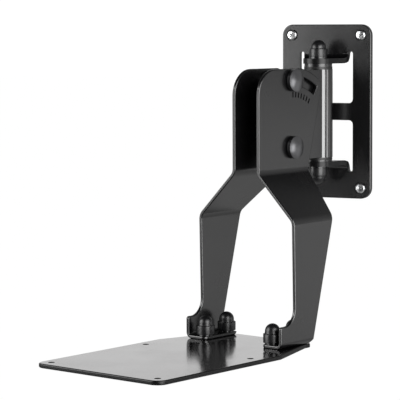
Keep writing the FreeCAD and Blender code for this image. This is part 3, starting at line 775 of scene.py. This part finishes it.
def make_camera():
    camera = bpy.data.objects.new("camera", bpy.data.cameras.new("camera"))
    bpy.context.scene.collection.objects.link(camera)
    camera.data.sensor_width = camera_sensor
    camera.data.lens = camera_lens
    pan, below_level, roll = camera_turn_deg
    turn = (Matrix.Rotation(math.radians(pan), 4, "Z")
            @ Matrix.Rotation(math.radians(90 - below_level), 4, "X")
            @ Matrix.Rotation(math.radians(roll), 4, "Z"))
    camera.matrix_world = Matrix.Translation(camera_place) @ turn
    bpy.context.scene.camera = camera


def soft_box(name, azimuth_deg, distance, height, width, tall, brightness):
    """A rectangular soft light around the object, aimed at its middle."""
    angle = math.radians(azimuth_deg)
    place = Vector((distance * math.sin(angle), -distance * math.cos(angle), height))
    lamp = bpy.data.lights.new(name, "AREA")
    lamp.shape = "RECTANGLE"
    lamp.size = width
    lamp.size_y = tall
    lamp.energy = brightness * math.pi * width * tall
    box = bpy.data.objects.new(name, lamp)
    bpy.context.scene.collection.objects.link(box)
    box.matrix_world = (Matrix.Translation(place)
                        @ (place - lights_aim).to_track_quat("Z", "Y").to_matrix().to_4x4())
    box.visible_camera = False


def sees_background(tree):
    """1 for camera, glossy and transmission rays."""
    path = tree.nodes.new("ShaderNodeLightPath")
    first = add(tree, "ShaderNodeMath", {"operation": "MAXIMUM"})
    second = add(tree, "ShaderNodeMath", {"operation": "MAXIMUM"})
    tree.links.new(path.outputs["Is Glossy Ray"], first.inputs[0])
    tree.links.new(path.outputs["Is Transmission Ray"], first.inputs[1])
    tree.links.new(path.outputs["Is Camera Ray"], second.inputs[0])
    tree.links.new(first.outputs[0], second.inputs[1])
    return path, second.outputs[0]


def make_world():
    """A white backdrop behind the bracket, dim sides and a dark ceiling; white to the camera."""
    world = bpy.data.worlds.new("studio")
    bpy.context.scene.world = world
    world.use_nodes = True
    tree = world.node_tree
    tree.nodes.clear()
    link = tree.links.new
    path, seen = sees_background(tree)
    direction = tree.nodes.new("ShaderNodeSeparateXYZ")
    place = tree.nodes.new("ShaderNodeTexCoord").outputs["Generated"]
    link(place, direction.inputs[0])
    ceiling = add(tree, "ShaderNodeMapRange", {"interpolation_type": "SMOOTHSTEP"},
                  From_Min=0.18, From_Max=0.85, To_Min=1.0, To_Max=0.05)
    link(direction.outputs["Z"], ceiling.inputs["Value"])
    sides = add(tree, "ShaderNodeMapRange", {"interpolation_type": "SMOOTHSTEP"},
                From_Min=-0.35, From_Max=0.3, To_Min=0.1, To_Max=0.5)
    link(direction.outputs["Y"], sides.inputs["Value"])
    towards = add(tree, "ShaderNodeVectorMath", {"operation": "DOT_PRODUCT"})
    towards.inputs[1].default_value = backdrop_direction
    link(place, towards.inputs[0])
    backdrop = add(tree, "ShaderNodeMapRange", {"interpolation_type": "SMOOTHSTEP"},
                   From_Min=0.86, From_Max=0.96, To_Min=0.0, To_Max=0.57)
    link(towards.outputs["Value"], backdrop.inputs["Value"])
    both = add(tree, "ShaderNodeMath", {"operation": "ADD"})
    link(sides.outputs["Result"], both.inputs[0])
    link(backdrop.outputs["Result"], both.inputs[1])
    around = add(tree, "ShaderNodeMath", {"operation": "MULTIPLY"})
    link(ceiling.outputs["Result"], around.inputs[0])
    link(both.outputs[0], around.inputs[1])
    level = add(tree, "ShaderNodeMath", {"operation": "MAXIMUM"})
    link(path.outputs["Is Camera Ray"], level.inputs[0])
    link(around.outputs[0], level.inputs[1])
    background = add(tree, "ShaderNodeBackground", Color=(1, 1, 1, 1))
    link(level.outputs[0], background.inputs["Strength"])
    output = tree.nodes.new("ShaderNodeOutputWorld")
    link(background.outputs[0], output.inputs["Surface"])


def make_floor():
    """A pale floor well below the bracket, white to the camera; in reflections it glows as painted
    light, brighter near the bracket than far away.
    """
    mesh = bpy.data.meshes.new("studio_floor")
    mesh.from_pydata([
        (-floor_reach, floor_front_y, floor_height), (floor_reach, floor_front_y, floor_height),
        (floor_reach, floor_reach, floor_height), (-floor_reach, floor_reach, floor_height)
    ], [], [(0, 1, 2, 3)])
    floor = bpy.data.objects.new("studio_floor", mesh)
    bpy.context.scene.collection.objects.link(floor)
    material = bpy.data.materials.new("pale_floor")
    material.use_nodes = True
    tree = material.node_tree
    tree.nodes.clear()
    path, seen = sees_background(tree)
    matt = add(tree, "ShaderNodeBsdfDiffuse", Color=(0.8, 0.8, 0.8, 1))
    position = tree.nodes.new("ShaderNodeTexCoord").outputs["Object"]
    distance = add(tree, "ShaderNodeVectorMath", {"operation": "LENGTH"})
    # painted light: the floor's glow in reflections, fading with distance from the bracket
    falloff = add(tree, "ShaderNodeMapRange", {"interpolation_type": "SMOOTHSTEP"},
                  From_Min=1.2, From_Max=4.5, To_Min=0.55, To_Max=0.42)
    tree.links.new(position, distance.inputs[0])
    tree.links.new(distance.outputs["Value"], falloff.inputs["Value"])
    white = add(tree, "ShaderNodeMath", {"operation": "MULTIPLY"})
    white.inputs[1].default_value = 1.05
    tree.links.new(path.outputs["Is Camera Ray"], white.inputs[0])
    level = add(tree, "ShaderNodeMath", {"operation": "MAXIMUM"})
    tree.links.new(white.outputs[0], level.inputs[0])
    tree.links.new(falloff.outputs["Result"], level.inputs[1])
    glow = add(tree, "ShaderNodeEmission", Color=(1, 1, 1, 1))
    tree.links.new(level.outputs[0], glow.inputs["Strength"])
    share = add(tree, "ShaderNodeMath", {"operation": "MULTIPLY"})
    share.inputs[1].default_value = 0.95
    mix = tree.nodes.new("ShaderNodeMixShader")
    output = tree.nodes.new("ShaderNodeOutputMaterial")
    tree.links.new(seen, share.inputs[0])
    tree.links.new(share.outputs[0], mix.inputs["Fac"])
    tree.links.new(matt.outputs[0], mix.inputs[1])
    tree.links.new(glow.outputs[0], mix.inputs[2])
    tree.links.new(mix.outputs[0], output.inputs["Surface"])
    mesh.materials.append(material)


finish_nodes()
make_sheets()
make_caps()
make_cross_bolts()
make_wall_screws()
make_angle_marks()
make_camera()
for settings in soft_boxes:
    soft_box(*settings)
make_world()
make_floor()
bpy.context.scene.view_settings.view_transform = "Standard"

bpy.context.view_layer.update()
